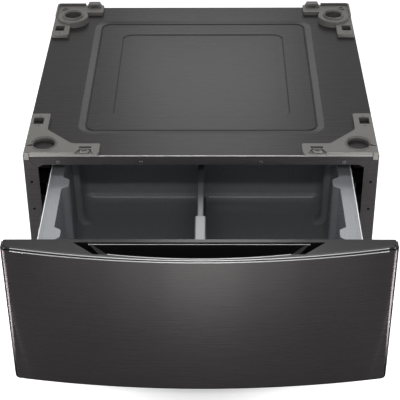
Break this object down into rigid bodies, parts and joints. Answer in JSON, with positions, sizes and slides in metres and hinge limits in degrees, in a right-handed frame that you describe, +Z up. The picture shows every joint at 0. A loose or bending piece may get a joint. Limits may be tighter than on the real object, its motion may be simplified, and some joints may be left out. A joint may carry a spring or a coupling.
{
  "type": "laundry pedestal",
  "caption": "Low steel pedestal for a washer or dryer: embossed top with corner brackets for the appliance feet, a wide bowed drawer on ball slides and levelling feet.",
  "frame": {"origin": "on the floor, at the middle of the open pedestal's footprint", "axes": "+X to the right seen from the front, +Y to the back, +Z up; the drawer opens along -Y"},
  "size_m": [0.686, 0.996, 0.354],
  "materials": {
    "charcoal_sheet": "charcoal enamel, satin",
    "galvanised_sheet": "galvanised sheet",
    "bracket_plastic": "warm grey moulded plastic",
    "slide_steel": "black coated steel",
    "ball_steel": "polished balls",
    "fastener_steel": "zinc plated",
    "foot_rubber": "moulded rubber",
    "front_steel": "dark tinted steel, brushed across",
    "cap_plastic": "dark painted moulding",
    "bin_plastic": "grey moulded plastic",
    "divider_plastic": "dark grey moulded plastic"
  },
  "bodies": {
    "cabinet": {"top_panel": "charcoal_sheet", "left_side_panel": "charcoal_sheet", "right_side_panel": "charcoal_sheet", "front_top_rail": "charcoal_sheet", "front_base_rail": "charcoal_sheet", "rear_base_rail": "charcoal_sheet", "gusset_front_left": "charcoal_sheet", "gusset_front_right": "charcoal_sheet", "gusset_rear_left": "charcoal_sheet", "gusset_rear_right": "charcoal_sheet", "back_panel": "galvanised_sheet", "bracket_front_left": "bracket_plastic", "bracket_front_right": "bracket_plastic", "bracket_rear_left": "bracket_plastic", "bracket_rear_right": "bracket_plastic", "left_slide_outer": "slide_steel", "right_slide_outer": "slide_steel", "left_front_standoff": "slide_steel", "left_rear_standoff": "slide_steel", "right_front_standoff": "slide_steel", "right_rear_standoff": "slide_steel", "rail_screws": "fastener_steel", "back_screws": "fastener_steel", "bracket_screws": "fastener_steel", "foot_lock_nuts": "fastener_steel"},
    "drawer": {"drawer_front_skin": "front_steel", "drawer_front_cap": "cap_plastic", "drawer_front_back": "galvanised_sheet", "drawer_bin": "bin_plastic", "drawer_divider": "divider_plastic", "divider_post": "bin_plastic", "closing_bumpers": "foot_rubber", "left_side_frame": "slide_steel", "right_side_frame": "slide_steel", "front_screws": "fastener_steel", "runner_screws": "fastener_steel", "left_slide_inner": "slide_steel", "right_slide_inner": "slide_steel"},
    "slide_middles": {"left_slide_middle": "slide_steel", "right_slide_middle": "slide_steel"},
    "outer_cages": {"left_outer_cage": "slide_steel", "right_outer_cage": "slide_steel", "left_outer_balls": "ball_steel", "right_outer_balls": "ball_steel"},
    "inner_cages": {"left_inner_cage": "slide_steel", "right_inner_cage": "slide_steel", "left_inner_balls": "ball_steel", "right_inner_balls": "ball_steel"},
    "foot_stud_front_left": {"foot_stud_front_left": "fastener_steel"},
    "foot_pad_front_left": {"foot_pad_front_left": "foot_rubber"},
    "foot_stud_front_right": {"foot_stud_front_right": "fastener_steel"},
    "foot_pad_front_right": {"foot_pad_front_right": "foot_rubber"},
    "foot_stud_rear_left": {"foot_stud_rear_left": "fastener_steel"},
    "foot_pad_rear_left": {"foot_pad_rear_left": "foot_rubber"},
    "foot_stud_rear_right": {"foot_stud_rear_right": "fastener_steel"},
    "foot_pad_rear_right": {"foot_pad_rear_right": "foot_rubber"}
  },
  "joints": [
    {"name": "drawer_slide", "type": "slide", "parent": "cabinet", "child": "drawer", "axis": [0, -1, 0], "range_m": [-0.276, 0.174]},
    {"name": "middle_slide", "type": "slide", "parent": "cabinet", "child": "slide_middles", "axis": [0, -1, 0], "range_m": [-0.138, 0.087]},
    {"name": "outer_cage_slide", "type": "slide", "parent": "cabinet", "child": "outer_cages", "axis": [0, -1, 0], "range_m": [-0.069, 0.0435]},
    {"name": "inner_cage_slide", "type": "slide", "parent": "cabinet", "child": "inner_cages", "axis": [0, -1, 0], "range_m": [-0.207, 0.1305]},
    {"name": "foot_raise_front_left", "type": "slide", "parent": "cabinet", "child": "foot_stud_front_left", "axis": [0, 0, 1], "range_m": [-0.012, 0]},
    {"name": "foot_turn_front_left", "type": "hinge", "parent": "foot_stud_front_left", "child": "foot_pad_front_left", "pos_m": [-0.296, -0.11055, 0], "axis": [0, 0, 1], "range_deg": [-2880, 0]},
    {"name": "foot_raise_front_right", "type": "slide", "parent": "cabinet", "child": "foot_stud_front_right", "axis": [0, 0, 1], "range_m": [-0.012, 0]},
    {"name": "foot_turn_front_right", "type": "hinge", "parent": "foot_stud_front_right", "child": "foot_pad_front_right", "pos_m": [0.296, -0.11055, 0], "axis": [0, 0, 1], "range_deg": [-2880, 0]},
    {"name": "foot_raise_rear_left", "type": "slide", "parent": "cabinet", "child": "foot_stud_rear_left", "axis": [0, 0, 1], "range_m": [-0.012, 0]},
    {"name": "foot_turn_rear_left", "type": "hinge", "parent": "foot_stud_rear_left", "child": "foot_pad_rear_left", "pos_m": [-0.296, 0.44745, 0], "axis": [0, 0, 1], "range_deg": [-2880, 0]},
    {"name": "foot_raise_rear_right", "type": "slide", "parent": "cabinet", "child": "foot_stud_rear_right", "axis": [0, 0, 1], "range_m": [-0.012, 0]},
    {"name": "foot_turn_rear_right", "type": "hinge", "parent": "foot_stud_rear_right", "child": "foot_pad_rear_right", "pos_m": [0.296, 0.44745, 0], "axis": [0, 0, 1], "range_deg": [-2880, 0]}
  ],
  "couplings": [
    {"joint": "middle_slide", "follows": "drawer_slide", "ratio": 0.5},
    {"joint": "outer_cage_slide", "follows": "drawer_slide", "ratio": 0.25},
    {"joint": "inner_cage_slide", "follows": "drawer_slide", "ratio": 0.75},
    {"joint": "foot_raise_front_left", "follows": "foot_turn_front_left", "m_per_rad": 0.0002387},
    {"joint": "foot_raise_front_right", "follows": "foot_turn_front_right", "m_per_rad": 0.0002387},
    {"joint": "foot_raise_rear_left", "follows": "foot_turn_rear_left", "m_per_rad": 0.0002387},
    {"joint": "foot_raise_rear_right", "follows": "foot_turn_rear_right", "m_per_rad": 0.0002387}
  ]
}
